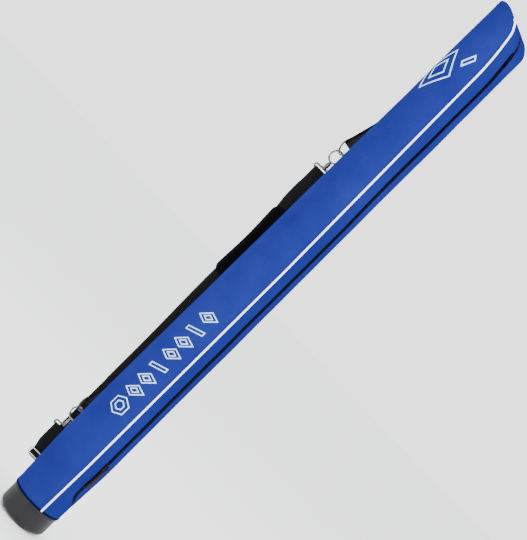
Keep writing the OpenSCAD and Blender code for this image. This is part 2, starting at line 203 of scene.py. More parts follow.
def thick_shell(name, grids):
    """A closed sheet from grids of (outer point, inner point, uv); grids that share an edge are joined along it."""
    keys, outer, inner, uvs, faces = {}, [], [], [], []

    def index(entry):
        point = entry[0]
        key = tuple(round(c * 20000) for c in point)
        if key not in keys:
            keys[key] = len(outer)
            outer.append(entry[0])
            inner.append(entry[1])
            uvs.append(entry[2])
        return keys[key]

    for grid in grids:
        ids = [[index(e) for e in row] for row in grid]
        for i in range(len(ids) - 1):
            for j in range(len(ids[0]) - 1):
                quad = [ids[i][j], ids[i][j + 1], ids[i + 1][j + 1], ids[i + 1][j]]
                loop = [v for k, v in enumerate(quad) if v != quad[k - 1]]
                if len(set(loop)) == len(loop) and len(loop) >= 3:
                    faces.append(loop)
    count = {}
    for f in faces:
        for k in range(len(f)):
            edge = (f[k], f[(k + 1) % len(f)])
            count[tuple(sorted(edge))] = count.get(tuple(sorted(edge)), []) + [edge]
    n = len(outer)
    walls = [(e[0][1], e[0][0], e[0][0] + n, e[0][1] + n) for e in count.values() if len(e) == 1]
    back = [tuple(v + n for v in reversed(f)) for f in faces]
    return make_object(name, outer + inner, [tuple(f) for f in faces] + back + walls, uvs + uvs)


def steps(a, b, n):
    return [a + (b - a) * i / n for i in range(n + 1)]


def rounded_outline(width, low, high, r, waist=0.0, turns=6):
    """A rounded rectangle, drawn in at its middle by waist."""
    points = []
    for sx, cz, a0 in ((1, high - r, 0), (-1, high - r, 90), (-1, low + r, 180), (1, low + r, 270)):
        cx = sx * (width / 2 - r)
        for a in steps(a0, a0 + 90, turns):
            points.append((cx + r * math.cos(math.radians(a)), cz + r * math.sin(math.radians(a))))
        if waist and a0 in (90, 270):
            side, inward = (-width / 2, waist) if a0 == 90 else (width / 2, -waist)
            for f in (0.2, 0.35, 0.5, 0.65, 0.8):
                down = f if a0 == 90 else 1 - f
                points.append((side + inward * math.sin(math.pi * f), high - r + (low - high + 2 * r) * down))
    return points


def spread(outline, gap=4.0):
    """A closed outline with points added along its longer sides, about a gap apart."""
    dense = []
    for a, b in zip(outline, outline[1:] + outline[:1]):
        n = max(1, int(math.dist(a, b) / gap))
        dense += [(a[0] + (b[0] - a[0]) * k / n, a[1] + (b[1] - a[1]) * k / n) for k in range(n)]
    return dense


def column_top(phi_a, phi_b, s, depth):
    """Where a column between two lines meets the top edge, as (angle, height)."""
    z = CASE_H - 50
    for _ in range(30):
        phi = phi_a(z) * (1 - s) + phi_b(z) * s
        z = edge_height(phi, depth)
    return phi, z


def column_angles(phi_a, phi_b, columns, depth=0.0):
    return [column_top(phi_a, phi_b, c / columns, depth)[0] for c in range(columns + 1)]


def wall_grid(phi_a, phi_b, columns, z0, depths, rows=150, cloth=True):
    """Columns between two lines phi_a(z) and phi_b(z), from z0 up to the top edge."""
    grid = []
    for c in range(columns + 1):
        s = c / columns
        end_phi, end = column_top(phi_a, phi_b, s, depths[0])
        column = []
        for i in range(rows + 1):
            z = z0 + (end - z0) * i / rows
            phi = phi_a(z) * (1 - s) + phi_b(z) * s
            low_z = z
            if i == rows:
                phi, low_z = end_phi, edge_height(end_phi, depths[1])
            outer, inner = wall_point(phi, z, depths[0], cloth), wall_point(phi, low_z, depths[1], cloth)
            column.append((outer, inner, (phi * ARC_PER_DEG * MM, z * MM)))
        grid.append(column)
    return grid


def top_grid(phis, depths, t_of, gap, rows=10):
    """The top end between its edge at the given angles and the zip's line, which it stops short of by the gap."""
    grid = []
    for phi in phis:
        column = []
        for i in range(rows + 1):
            pair = []
            for d in depths:
                z_edge = edge_height(phi, d)
                edge = around(cover_r(z_edge) - d, phi, z_edge)
                zip_x, zip_y = zip_curve(t_of(phi), d)
                across = Vector((zip_x - edge.x / MM, zip_y - edge.y / MM))
                reach = max(0.0, 1 - gap / max(across.length, 0.01)) * i / rows
                inward = top_point(edge.x / MM + across.x * reach, edge.y / MM + across.y * reach, d)
                pair.append(inward if i else edge)
            column.append((pair[0], pair[1], (pair[0].x, pair[0].y)))
        grid.append(column)
    return grid


def tube(name, points, radius, sides=10, closed=False):
    """A round tube swept along points in metres."""
    n = len(points)
    verts, faces, uvs = [], [], []
    normal = None
    length = 0.0
    for i, p in enumerate(points):
        a = points[(i - 1) % n] if closed or i else points[0]
        b = points[(i + 1) % n] if closed or i < n - 1 else points[-1]
        d = (b - a).normalized()
        if normal is None:
            normal = d.orthogonal().normalized()
        normal = (normal - normal.dot(d) * d).normalized()
        side = d.cross(normal)
        if i:
            length += (p - points[i - 1]).length
        for k in range(sides):
            t = 2 * math.pi * k / sides
            verts.append(p + radius * (normal * math.cos(t) + side * math.sin(t)))
            uvs.append((length, radius * t))
    spans = n if closed else n - 1
    for i in range(spans):
        for k in range(sides):
            j, m = (i + 1) % n, (k + 1) % sides
            faces.append((i * sides + k, j * sides + k, j * sides + m, i * sides + m))
    if not closed:
        faces.append(tuple(range(sides - 1, -1, -1)))
        faces.append(tuple((n - 1) * sides + k for k in range(sides)))
    return make_object(name, verts, faces, uvs)


def band_along(name, points, across, width, thick):
    """Flat webbing with rounded edges swept along points; across is the direction of its width."""
    profile = [(-0.5, 0.0), (-0.47, 0.42), (-0.25, 0.5), (0.0, 0.5), (0.25, 0.5), (0.47, 0.42),
               (0.5, 0.0), (0.47, -0.42), (0.25, -0.5), (0.0, -0.5), (-0.25, -0.5), (-0.47, -0.42)]
    verts, faces, uvs = [], [], []
    n, m = len(points), len(profile)
    side = across.normalized()
    length = 0.0
    for i, p in enumerate(points):
        d = (points[min(n - 1, i + 1)] - points[max(0, i - 1)]).normalized()
        up = d.cross(side).normalized()
        if i:
            length += (p - points[i - 1]).length
        for x, y in profile:
            verts.append(p + side * width * x + up * (thick * y))
            uvs.append((x * width, length))
    for i in range(n - 1):
        for k in range(m):
            faces.append((i * m + k, (i + 1) * m + k, (i + 1) * m + (k + 1) % m, i * m + (k + 1) % m))
    faces.append(tuple(range(m - 1, -1, -1)))
    faces.append(tuple((n - 1) * m + k for k in range(m)))
    return make_object(name, verts, faces, uvs)


def turned(name, centre, axis, profile, sides=32, ribs=None):
    """A turned piece: profile is a closed line of (radius, place along the axis) in millimetres."""
    axis = axis.normalized()
    a1 = axis.orthogonal().normalized()
    a2 = axis.cross(a1)
    verts, faces, uvs, m = [], [], [], len(profile)
    for k in range(sides):
        t = 2 * math.pi * k / sides
        for r, s in profile:
            rr = r - (ribs(r, s) if ribs and k % 4 == 0 else 0)
            verts.append(centre + (axis * s + (a1 * math.cos(t) + a2 * math.sin(t)) * rr) * MM)
            uvs.append((t * rr * MM, s * MM))
    for k in range(sides):
        n = (k + 1) % sides
        faces += [(k * m + j, n * m + j, n * m + (j + 1) % m, k * m + (j + 1) % m) for j in range(m)]
    return make_object(name, verts, faces, uvs)


def joined(name, objects):
    """One object from several, keeping their UVs."""
    bm = bmesh.new()
    for o in objects:
        bm.from_mesh(o.data)
    mesh = bpy.data.meshes.new(name)
    bm.to_mesh(mesh)
    bm.free()
    for o in objects:
        bpy.data.objects.remove(o)
    obj = bpy.data.objects.new(name, mesh)
    bpy.context.scene.collection.objects.link(obj)
    mesh.set_sharp_from_angle(angle=math.radians(42))
    return obj


def smooth_path(points, per=8):
    """Catmull-Rom through the given points."""
    out = []
    for i in range(len(points) - 1):
        p0, p1, p2, p3 = points[max(0, i - 1)], points[i], points[i + 1], points[min(len(points) - 1, i + 2)]
        for k in range(per):
            t = k / per
            out.append(0.5 * ((2 * p1) + (p2 - p0) * t + (2 * p0 - 5 * p1 + 4 * p2 - p3) * t * t
                              + (3 * p1 - p0 - 3 * p2 + p3) * t * t * t))
    out.append(points[-1])
    return out


# ---------------------------------------------------------------- materials
def srgb(r, g, b):
    return tuple((c / 255 / 12.92) if c <= 10 else ((c / 255 + 0.055) / 1.055) ** 2.4 for c in (r, g, b)) + (1.0,)


class Nodes:
    """A small helper that adds and links shader nodes."""

    def __init__(self, name):
        self.material = bpy.data.materials.new(name)
        self.material.use_nodes = True
        self.tree = self.material.node_tree
        self.shader = self.tree.nodes["Principled BSDF"]

    def add(self, kind, **values):
        node = self.tree.nodes.new(kind)
        for key, value in values.items():
            if key in node.inputs:
                node.inputs[key].default_value = value
            else:
                setattr(node, key, value)
        return node

    def link(self, a, b):
        self.tree.links.new(a, b)

    def math(self, op, a, b=None):
        node = self.add("ShaderNodeMath", operation=op)
        for i, v in enumerate((a, b)):
            if v is None:
                continue
            if isinstance(v, (int, float)):
                node.inputs[i].default_value = v
            else:
                self.link(v, node.inputs[i])
        return node.outputs[0]

    def uv(self):
        node = self.add("ShaderNodeUVMap", uv_map="uv")
        split = self.add("ShaderNodeSeparateXYZ")
        self.link(node.outputs[0], split.inputs[0])
        return split.outputs[0], split.outputs[1]

    def noise(self, scale, detail=4.0, rough=0.55, stretch=None):
        place = self.add("ShaderNodeTexCoord").outputs["Object"]
        if stretch:
            mapping = self.add("ShaderNodeMapping")
            mapping.inputs["Scale"].default_value = stretch
            self.link(place, mapping.inputs["Vector"])
            place = mapping.outputs[0]
        node = self.add("ShaderNodeTexNoise", Scale=scale, Detail=detail, Roughness=rough)
        self.link(place, node.inputs["Vector"])
        return node.outputs["Fac"]

    def ramp(self, value, stops):
        node = self.add("ShaderNodeValToRGB")
        self.link(value, node.inputs[0])
        bar = node.color_ramp
        while len(bar.elements) < len(stops):
            bar.elements.new(0.5)
        for e, (at, colour) in zip(bar.elements, stops):
            e.position, e.color = at, colour
        return node.outputs[0]

    def bump(self, height, strength, distance, below=None):
        node = self.add("ShaderNodeBump", Strength=strength, Distance=distance)
        self.link(height, node.inputs["Height"])
        if below is not None:
            self.link(below, node.inputs["Normal"])
        return node.outputs[0]


def weave_height(n, pitch):
    """Over-and-under threads with the given pitch, in metres, from the piece's own cloth coordinates."""
    u, v = n.uv()
    k = math.pi / pitch
    a = n.math("SINE", n.math("MULTIPLY", u, k))
    b = n.math("SINE", n.math("MULTIPLY", v, k))
    return n.math("ABSOLUTE", n.math("MULTIPLY", a, b))


def cloth(name, light, dark, pitch=0.0011, sheen=0.12, rough=0.62, weave=0.25):
    n = Nodes(name)
    patch = n.noise(9.0, 3.0)
    fine = n.noise(420.0, 2.0)
    mixed = n.math("ADD", n.math("MULTIPLY", patch, 0.7), n.math("MULTIPLY", fine, 0.3))
    n.link(n.ramp(mixed, [(0.36, srgb(*dark)), (0.64, srgb(*light))]), n.shader.inputs["Base Color"])
    height = weave_height(n, pitch)
    rough_out = n.math("ADD", n.math("MULTIPLY", fine, 0.16), rough - 0.08)
    n.link(rough_out, n.shader.inputs["Roughness"])
    creases = n.bump(n.noise(26.0, 3.0, 0.5, (1, 1, 0.45)), 0.12, 0.004)
    n.link(n.bump(height, weave, 0.0004, creases), n.shader.inputs["Normal"])
    n.shader.inputs["Sheen Weight"].default_value = sheen
    n.shader.inputs["Sheen Roughness"].default_value = 0.4
    n.shader.inputs["Specular IOR Level"].default_value = 0.0
    return n.material


def webbing_material(name, light, dark):
    n = Nodes(name)
    u, v = n.uv()
    rib = n.math("ABSOLUTE", n.math("SINE", n.math("MULTIPLY", v, math.pi / 0.0016)))
    cross = n.math("ABSOLUTE", n.math("SINE", n.math("MULTIPLY", u, math.pi / 0.0024)))
    height = n.math("ADD", n.math("MULTIPLY", rib, 0.7), n.math("MULTIPLY", cross, 0.5))
    worn = n.noise(60.0, 4.0)
    # Painted shade: the colour follows the ribs' height, so the grooves between the ribs are painted darker; the noise
    # adds random tone.
    groove_shade_and_wear = n.math("ADD", n.math("MULTIPLY", height, 0.35), n.math("MULTIPLY", worn, 0.6))
    n.link(n.ramp(groove_shade_and_wear, [(0.25, srgb(*dark)), (0.85, srgb(*light))]), n.shader.inputs["Base Color"])
    n.shader.inputs["Roughness"].default_value = 0.68
    n.shader.inputs["Sheen Weight"].default_value = 0.03
    n.shader.inputs["Specular IOR Level"].default_value = 0.1
    n.shader.inputs["Sheen Roughness"].default_value = 0.35
    n.link(n.bump(height, 0.6, 0.0006), n.shader.inputs["Normal"])
    return n.material


def plastic(name, light, dark, rough=0.45, grain=900.0, depth=0.00015, scale=14.0, coat=0.0):
    n = Nodes(name)
    patch = n.noise(scale, 5.0, 0.6)
    n.link(n.ramp(patch, [(0.35, srgb(*dark)), (0.68, srgb(*light))]), n.shader.inputs["Base Color"])
    n.link(n.math("ADD", n.math("MULTIPLY", n.noise(35.0, 5.0), 0.22), rough - 0.1), n.shader.inputs["Roughness"])
    n.link(n.bump(n.noise(grain, 2.0), 0.35, depth), n.shader.inputs["Normal"])
    n.shader.inputs["Coat Weight"].default_value = coat
    n.shader.inputs["Specular IOR Level"].default_value = 0.2
    return n.material


def metal(name, light, dark, rough=0.3):
    n = Nodes(name)
    n.shader.inputs["Metallic"].default_value = 1.0
    worn = n.noise(140.0, 5.0, 0.65)
    n.link(n.ramp(worn, [(0.38, srgb(*dark)), (0.66, srgb(*light))]), n.shader.inputs["Base Color"])
    n.link(n.math("ADD", n.math("MULTIPLY", n.noise(260.0, 4.0), 0.25), rough - 0.1), n.shader.inputs["Roughness"])
    n.link(n.bump(n.noise(700.0, 3.0), 0.15, 0.0001), n.shader.inputs["Normal"])
    return n.material


MAT = {
    "blue": cloth("cover_cloth", (32, 41, 112), (26, 33, 99), sheen=0.0),
    "gusset": cloth("gusset_cloth", (28, 35, 104), (22, 29, 91), sheen=0.0),
    "hem": cloth("hem_binding", (3, 12, 52), (2, 8, 38), 0.0014, 0.02),
    "lining": cloth("lining_cloth", (34, 44, 74), (22, 30, 54), 0.0008, 0.1, 0.5, 0.15),
    "tape": cloth("zip_cloth", (6, 7, 20), (3, 4, 12), 0.0012, 0.02, 0.6, 0.3),
    "pad": cloth("pad_cloth", (12, 12, 14), (7, 7, 9), 0.0014, 0.04, 0.7, 0.5),
    "webbing": webbing_material("strap_webbing", (14, 14, 16), (4, 4, 5)),
    "thread": plastic("dark_thread", (24, 24, 27), (14, 14, 16), 0.5, 1500.0, 0.0001, 200.0),
    "blue_thread": plastic("blue_thread", (3, 30, 104), (2, 22, 88), 0.5, 1500.0, 0.0001, 200.0),
    "piping": plastic("white_piping", (252, 254, 255), (240, 246, 250), 0.38, 500.0, 0.0001, 30.0, 0.15),
    "print": plastic("pale_print", (196, 224, 246), (168, 206, 238), 0.5, 1200.0, 0.00005, 60.0),
    "cup": plastic("cup_moulding", (26, 25, 27), (16, 16, 18), 0.46, 1400.0, 0.00012, 16.0),
    "foot": plastic("foot_moulding", (52, 52, 54), (34, 34, 36), 0.7, 800.0, 0.0002, 20.0),
    "sheet": plastic("stiffener_plastic", (214, 214, 206), (192, 192, 184), 0.4, 300.0, 0.0001, 12.0),
    "foam": plastic("foam_cells", (120, 123, 130), (86, 89, 96), 0.85, 600.0, 0.0006, 60.0),
    "dark": metal("blackened_metal", (120, 120, 124), (62, 62, 66), 0.34),
    "bright": metal("bright_metal", (226, 227, 230), (176, 178, 182), 0.24),
    "slider": metal("slider_metal", (34, 36, 44), (16, 17, 22), 0.45),
    "rubber": plastic("pull_moulding", (5, 6, 14), (3, 3, 8), 0.6, 700.0, 0.0002, 60.0),
}


def finish_piece(obj, material, slot, body=None, blend=None, replaces=()):
    obj.data.materials.clear()
    obj.data.materials.append(MAT[material])
    if blend:
        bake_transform(obj)
    else:
        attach(obj, body)
    if replaces:
        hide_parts(*replaces)
    return obj


LID_BLEND = ("root", "lid", (0, 0, LID_Z * MM), (0, 0, OPEN_END_Z * MM))

# ---------------------------------------------------------------- cover, gusset and inner layers
HEM_TOP = CUP_H + 3.6


def constant(value):
    return lambda z: value


def beside_zip(side, layer="cover"):
    """The line a layer's edge follows along the zip; side is -1 in front of it and 1 behind."""
    return lambda z: zip_phi(z) + side * ZIP_GAP[layer]


def front_t(phi):
    return clamp((phi - SPINE_PHI) / (ZIP_TOP_PHI - SPINE_PHI))


def rear_t(phi):
    return clamp((SPINE_PHI + 360 - phi) / (SPINE_PHI + 360 - ZIP_TOP_PHI))


def gusset(name, phi_a, phi_b, columns, top_angles, t_of):
    """The strip beside the zip, with its share of the top end."""
    wall = wall_grid(phi_a, phi_b, columns, HEM_TOP, WALL["cover"])
    shared = column_angles(phi_a, phi_b, columns)
    return thick_shell(name, [wall] + [top_grid(a, WALL["cover"], t_of, 5.0) for a in (shared, top_angles(shared))])


front_cover = thick_shell("front_cover", [wall_grid(constant(SPINE_PHI), piping_phi, 60, HEM_TOP, WALL["cover"])])
finish_piece(front_cover, "blue", "blue_fabric", blend=LID_BLEND, replaces=("lid_cover", "lower_cover"))
front_gusset = gusset("front_gusset", piping_phi, beside_zip(-1), 16,
                      lambda shared: steps(SPINE_PHI, shared[0], 60), front_t)
finish_piece(front_gusset, "gusset", "gusset_fabric", blend=LID_BLEND, replaces=("lid_gusset",))
back_gusset = gusset("back_gusset", beside_zip(1), constant(REAR_PIPING_PHI), 20,
                     lambda shared: steps(shared[-1], SPINE_PHI + 360, 80), rear_t)
finish_piece(back_gusset, "gusset", "gusset_fabric", body="root", replaces=("rear_gusset",))
back_cover = thick_shell("back_cover", [wall_grid(constant(REAR_PIPING_PHI), constant(SPINE_PHI + 360), 70,
                                                  HEM_TOP, WALL["cover"])])
finish_piece(back_cover, "blue", "blue_fabric", body="root", replaces=("rear_cover",))


def inner_layer(name, layer, phi_a, phi_b, columns, t_of, z0):
    wall = wall_grid(phi_a, phi_b, columns, z0, WALL[layer], 70, False)
    shared = column_angles(phi_a, phi_b, columns, WALL[layer][0])
    return thick_shell(name, [wall, top_grid(shared, WALL[layer], t_of, ZIP_GAP[layer] * 1.1, 6)])


for layer, material, slot_name, start in (("stiffener", "sheet", "stiffener_sheet", CUP_H + 1),
                                          ("foam", "foam", "foam", CUP_H + 28),
                                          ("lining", "lining", "lining_fabric", CUP_H + 28)):
    front = inner_layer("front_" + layer, layer, constant(SPINE_PHI + 0.3), beside_zip(-1, layer), 60,
                        front_t, start)
    finish_piece(front, material, slot_name, blend=LID_BLEND, replaces=("lid_" + layer, "lower_" + layer))
    back = inner_layer("back_" + layer, layer, beside_zip(1, layer), constant(SPINE_PHI + 359.7), 90,
                       rear_t, start)
    finish_piece(back, material, slot_name, body="root", replaces=("rear_" + layer,))


def fold_lining(name, z0, z1, start, end):
    """Lining that bridges the fold; start and end are (across, height)."""
    grid = []
    for across in steps(-FOLD_HALF, FOLD_HALF, 10):
        column = []
        for z in steps(z0, z1, 60):
            radii = [cover_r(z) - d for d in FOLD_DEPTHS]
            outer, inner = [around(r, SPINE_PHI + math.degrees(math.asin(across / r)), z) for r in radii]
            column.append((outer, inner, (across * MM, z * MM)))
        grid.append(column)
    tangent = around(1, SPINE_PHI + 90, 0)
    ends = [tangent * p[0] + Vector((0, 0, p[1] * MM)) for p in (start, end)]
    finish_piece(thick_shell(name, [grid]), "lining", "lining_fabric", blend=("root", "lid", *ends))


FOLD_HALF, FOLD_DEPTHS, FOLD_TOP = 8.0, (8.7, 9.2), 1430
# Height gained for each millimetre across, where the opening grows.
fold_rise = (OPEN_END_Z - LID_Z) / (2 * FOLD_HALF)
fold_run = 2 * FOLD_HALF / (1 + 1 / fold_rise ** 2)
fold_lining("fold_lining_low", LID_Z, OPEN_END_Z, (FOLD_HALF, LID_Z),
            (FOLD_HALF + fold_run, LID_Z + fold_run / fold_rise))
fold_lining("fold_lining_high", OPEN_END_Z, FOLD_TOP, (-FOLD_HALF, OPEN_END_Z), (FOLD_HALF, OPEN_END_Z))


# ---------------------------------------------------------------- piping
def edge_line(phis, lift):
    """Along the top's edge, where the seam soon draws the piping in until little more than a line of it stands clear."""
    points = []
    for k, phi in enumerate(phis):
        z, drawn = edge_height(phi, 0), smooth(k, 0, 7)
        out, up = lift * (1 - drawn) - 2.6 * drawn, lift * 0.7 * (1 - drawn) - 0.9 * drawn
        points.append(around(cover_r(z) + out, phi, z + up))
    return points


def piping_points(phi_of, top_phis, lift=0.7):
    end = edge_height(top_phis[0], 0)
    wall = [around(cover_r(z) + lift, phi_of(z), z + lift * 0.7 * smooth(z, end - 30, end))
            for z in steps(CUP_H + 2.5, end, 190)]
    return wall + edge_line(top_phis, lift)[1:]


front_end = column_top(piping_phi, piping_phi, 0, 0)[0]
front_piping = tube("front_piping", piping_points(piping_phi, steps(front_end, SPINE_PHI, 60)), PIPING_R * MM, 12)
finish_piece(front_piping, "piping", "piping", blend=LID_BLEND, replaces=("lid_piping", "lower_piping"))
back_line = piping_points(constant(REAR_PIPING_PHI), steps(REAR_PIPING_PHI, SPINE_PHI + 360, 90))
back_piping = tube("back_piping", back_line, PIPING_R * MM, 12)
finish_piece(back_piping, "piping", "piping", body="root", replaces=("rear_piping",))


# ---------------------------------------------------------------- zip
ZIP_LOW_Z = 88.0
TAPE_IN, TAPE_OUT, TAPE_DEPTH, TAPE_T = 0.4, 7.0, 1.6, 0.5
TOOTH_PITCH = 2.6


def zip_path(side, depth):
    """Points along one side of the zip, up the wall and over the top; side is the distance from its line."""
    out = []
    for z in steps(ZIP_LOW_Z, edge_height(ZIP_TOP_PHI, 0), 330):
        r = cover_r(z) - depth
        out.append(around(r, zip_phi(z) + math.degrees(side / r), z))
    for t in steps(1.0, 0.02, 60)[1:]:
        x0, y0 = zip_curve(t, 0)
        x1, y1 = zip_curve(max(0, t - 0.01), 0)
        d = Vector((x1 - x0, y1 - y0, 0)).normalized()
        off = Vector((-d.y, d.x, 0)) * -side
        out.append(top_point(x0 + off.x, y0 + off.y, depth))
    return out


def zip_strip(name, a, b, depth, thick):
    """One tape between two distances from the zip's line."""
    grid = []
    for s in steps(a, b, 3):
        outer, inner = zip_path(s, depth), zip_path(s, depth + thick)
        grid.append([(o, i, (s * MM, k * 0.004)) for k, (o, i) in enumerate(zip(outer, inner))])
    return thick_shell(name, [grid])


def zip_teeth(name, sign):
    """The coil's turns on one side of the line."""
    path = zip_path(sign * 0.9, 1.0)
    rail = zip_path(sign * 2.0, 1.0)
    verts, faces = [], []
    travelled, due = 0.0, 0.0 if sign > 0 else TOOTH_PITCH / 2
    for i in range(1, len(path)):
        piece = path[i] - path[i - 1]
        length = piece.length / MM
        while due <= travelled + length:
            p = path[i - 1] + piece * ((due - travelled) / length)
            d = piece.normalized()
            across = (rail[i] - path[i])
            across = (across - across.dot(d) * d).normalized()
            up = across.cross(d)
            if up.dot(Vector((p.x, p.y, 0)) + Vector((0, 0, 0.2 if p.z > 1.36 else 0))) < 0:
                up = -up
            base = len(verts)
            for x, y, z in ((-1.1, -0.45, -0.3), (1.1, -0.45, -0.3), (1.1, 0.45, -0.3), (-1.1, 0.45, -0.3),
                            (-0.9, -0.25, 0.5), (0.8, -0.25, 0.5), (0.8, 0.25, 0.5), (-0.9, 0.25, 0.5)):
                verts.append(p + (across * x + d * y + up * z) * MM)
            faces += [tuple(base + k for k in f) for f in
                      ((0, 3, 2, 1), (4, 5, 6, 7), (0, 1, 5, 4), (1, 2, 6, 5), (2, 3, 7, 6), (3, 0, 4, 7))]
            due += TOOTH_PITCH
        travelled += length
    return make_object(name, verts, faces, None, False)


front_tape = zip_strip("front_zip_tape", -TAPE_OUT, -TAPE_IN, TAPE_DEPTH, TAPE_T)
finish_piece(front_tape, "tape", "zip_tape", blend=LID_BLEND, replaces=("lid_zip", "lower_zip"))
back_tape = zip_strip("back_zip_tape", TAPE_IN, TAPE_OUT, TAPE_DEPTH, TAPE_T)
finish_piece(back_tape, "tape", "zip_tape", body="root", replaces=("rear_zip",))
finish_piece(zip_teeth("front_zip_coil", -1), "slider", "zip_metal", blend=LID_BLEND)
finish_piece(zip_teeth("back_zip_coil", 1), "slider", "zip_metal", body="root")

# ---------------------------------------------------------------- hem, stitches and printed shapes
hem_profile = [(HEM_R - 1.4, CUP_H + 0.5), (HEM_R + 0.2, CUP_H + 0.1), (HEM_R + 1.0, CUP_H + 0.8),
               (HEM_R + 1.3, CUP_H + 2.3), (HEM_R + 1.1, CUP_H + 4.0), (HEM_R + 0.4, CUP_H + 5.0),
               (HEM_R - 0.4, CUP_H + 5.1), (HEM_R - 1.4, CUP_H + 4.6)]
finish_piece(turned("hem_binding", Vector(), UP, hem_profile, 160), "hem", "hem_fabric", body="root",
             replaces=("hem_band",))


def stitches(name, points, ups, stitch=3.2, gap=1.3, width=0.45):
    """Separate short stitches laid along points, lying on the cloth."""
    verts, faces = [], []
    lengths = [0.0]
    for a, b in zip(points, points[1:]):
        lengths.append(lengths[-1] + (b - a).length / MM)
    total = lengths[-1]

    def at(s):
        i = max(k for k in range(len(points) - 1) if lengths[k] <= s) if s > 0 else 0
        span = max(lengths[i + 1] - lengths[i], 1e-6)
        return points[i].lerp(points[i + 1], (s - lengths[i]) / span), ups[i]

    cursor = 0.0
    while cursor + stitch < total:
        ends = [at(cursor + stitch * f) for f in (0.0, 0.25, 0.75, 1.0)]
        d = (ends[3][0] - ends[0][0]).normalized()
        up = ends[0][1]
        side = d.cross(up).normalized()
        base = len(verts)
        for (p, _), high in zip(ends, (-0.1, 0.42, 0.42, -0.1)):
            for x, y in ((-width, 0), (0, width * 0.8), (width, 0)):
                verts.append(p + (side * x + up * (y + high)) * MM)
        for k in range(3):
            for j in range(2):
                a = base + 3 * k + j
                faces.append((a, a + 1, a + 4, a + 3))
            faces.append((base + 3 * k, base + 3 * k + 3, base + 3 * k + 5, base + 3 * k + 2))
        faces.append((base, base + 2, base + 1))
        faces.append((base + 9, base + 10, base + 11))
        cursor += stitch + gap
    return make_object(name, verts, faces, None, False)


def wall_stitches(name, phi_of, offset_mm, z0, z1):
    """A row of stitches up the wall at a distance from a line."""
    points, ups = [], []
    for z in steps(z0, z1, 260):
        phi = phi_of(z) + math.degrees(offset_mm / cover_r(z))
        points.append(wall_point(phi, z, -0.05))
        ups.append(around(1, phi, 0).normalized())
    return stitches(name, points, ups)


COVER_ROW, ZIP_ROW = (5.0, CUP_H + 8, 1385), (8.6, 150, 1300)        # distance from the line, lower end, upper end
for name, line, side, row, slot_name, where in (
        ("front_cover_stitch", piping_phi, -1, COVER_ROW, "blue_fabric", {"blend": LID_BLEND}),
        ("front_zip_stitch", zip_phi, -1, ZIP_ROW, "gusset_fabric", {"blend": LID_BLEND}),
        ("back_zip_stitch", zip_phi, 1, ZIP_ROW, "gusset_fabric", {"body": "root"}),
        ("rear_cover_stitch", constant(REAR_PIPING_PHI), 1, COVER_ROW, "blue_fabric", {"body": "root"})):
    finish_piece(wall_stitches(name, line, side * row[0], row[1], row[2]), "blue_thread", slot_name, **where)
ring_points = [wall_point(p, CUP_H + 8.2, -0.05) for p in steps(0, 360, 240)]
ring_ups = [around(1, p, 0).normalized() for p in steps(0, 360, 240)]
finish_piece(stitches("hem_stitch", ring_points, ring_ups), "blue_thread", "blue_fabric", body="root")


def printed(name, outlines, width):
    """Raised outline print; each outline is a closed list of (arc, height) in millimetres on the cover."""
    verts, faces = [], []
    for outline in outlines:
        dense = spread(outline)
        n = len(dense)
        base = len(verts)
        for i, (x, z) in enumerate(dense):
            ax, az = dense[i - 1]
            bx, bz = dense[(i + 1) % n]
            d1 = Vector((x - ax, z - az)).normalized()
            d2 = Vector((bx - x, bz - z)).normalized()
            normal = Vector((-(d1 + d2).y, (d1 + d2).x)).normalized()
            miter = 1 / max(0.45, normal.dot(Vector((-d1.y, d1.x))))
            for s, lift in ((-0.5, -0.05), (-0.5, 0.2), (0.5, 0.2), (0.5, -0.05)):
                px, pz = x + normal.x * width * s * miter, z + normal.y * width * s * miter
                phi = math.degrees(px / cover_r(pz))
                verts.append(wall_point(phi, pz, -lift))
        for i in range(n):
            j = (i + 1) % n
            for k in range(4):
                m = (k + 1) % 4
                faces.append((base + 4 * i + k, base + 4 * j + k, base + 4 * j + m, base + 4 * i + m))
    return make_object(name, verts, faces, None, False)


def ring_of(arc, z, half_arc, half_z, corners, slant=0.0):
    """A closed figure with evenly spaced corners, leaning by slant across its width."""
    turns = [2 * math.pi * k / corners for k in range(corners)]
    return [(arc + half_arc * math.sin(a), z + half_z * math.cos(a) + slant * math.sin(a)) for a in turns]


def shape_row():
    """A hexagon, then outlined rhombi with a slanted bar after every second one, up the front."""
    shapes = [ring_of(14, 320, 20, 20, 6), ring_of(14, 320, 10, 10, 6)]
    for z in (362, 396, 466, 500, 570):
        shapes += [ring_of(14, z, 20, 13, 4, 7), ring_of(14, z, 9, 6, 4, 3)]
    for z in (424, 528):
        shapes.append([(-4, z - 5), (32, z + 7), (32, z + 15), (-4, z + 3)])
    return shapes


def large_rhombus():
    """A large outlined rhombus low on the top's side, with a smaller one in it and a slanted bar beside it."""
    bar = [(4, 1296), (16, 1322), (22, 1314), (10, 1288)]
    return [ring_of(-27, 1256, 34, 54, 4), ring_of(-27, 1256, 17, 27, 4), bar]


finish_piece(printed("printed_row", shape_row(), 2.2), "print", "piping", blend=LID_BLEND)
finish_piece(printed("printed_rhombus", large_rhombus(), 3.0), "print", "piping", blend=LID_BLEND)

# ---------------------------------------------------------------- cup, feet, and the CAD nodes that show as they are
for node, look, slot_name in (("base_foam", "foam", "foam"), ("zip_stop", "slider", "zip_metal"),
                              ("spine_tape", "lining", "lining_fabric")):
    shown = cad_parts[node]
    shown.data.materials.clear()
    shown.data.materials.append(MAT[look])

